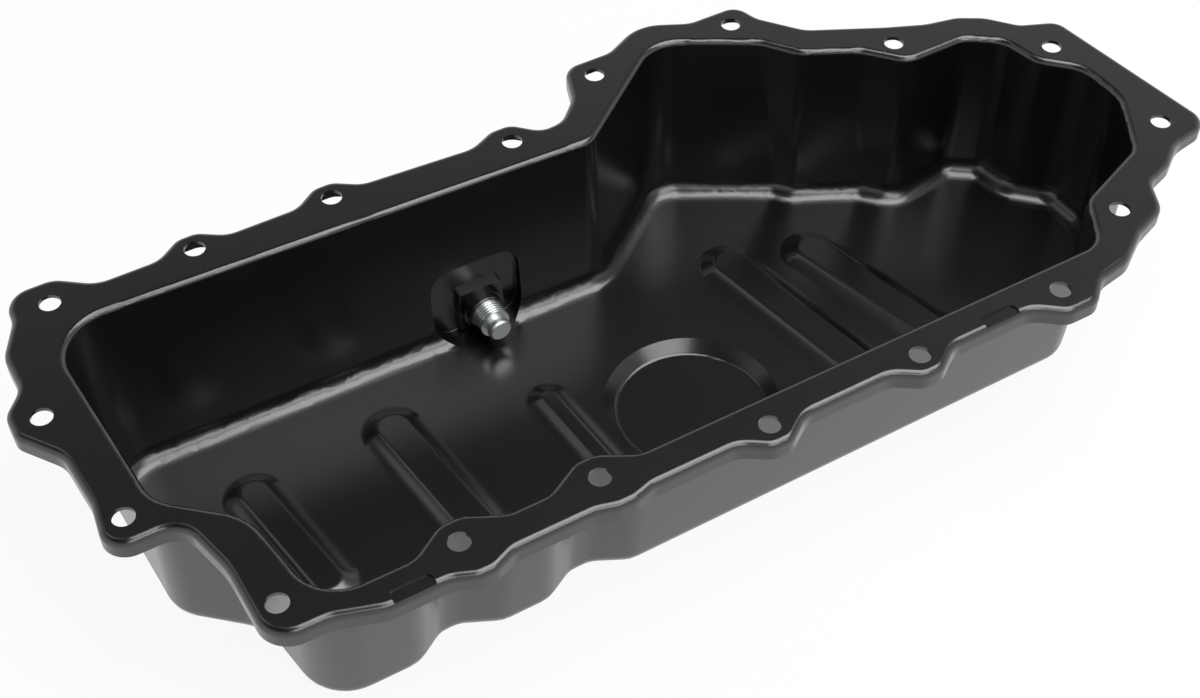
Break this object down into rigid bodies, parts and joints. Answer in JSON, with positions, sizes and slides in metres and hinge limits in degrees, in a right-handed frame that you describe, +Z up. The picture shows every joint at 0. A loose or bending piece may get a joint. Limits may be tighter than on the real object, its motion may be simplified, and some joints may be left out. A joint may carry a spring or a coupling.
{
  "type": "engine oil pan",
  "caption": "Deep-drawn sheet-steel engine oil pan with a scalloped bolting flange, ribbed floor, round sump recess and a side drain plug.",
  "frame": {"origin": "on the gasket face, midway between the two flange bolts furthest apart along the pan", "axes": "+Z up, out of the open side; +X along the front rail to the wide end; +Y to the wall with the drain plug"},
  "size_m": [0.5156, 0.2464, 0.0866],
  "materials": {
    "pan_black": "semi-gloss black dip coat",
    "nut_black": "semi-gloss black dip coat",
    "plug_zinc": "bright zinc plate",
    "washer_aluminium": "plain"
  },
  "bodies": {
    "pan": {"oil_pan": "pan_black", "drain_nut": "nut_black"},
    "plug": {"drain_plug": "plug_zinc", "drain_washer": "washer_aluminium"}
  },
  "joints": [
    {"name": "drain_plug_out", "type": "slide", "parent": "pan", "child": "plug", "axis": [0, 1, 0], "range_m": [0, 0.03]}
  ]
}
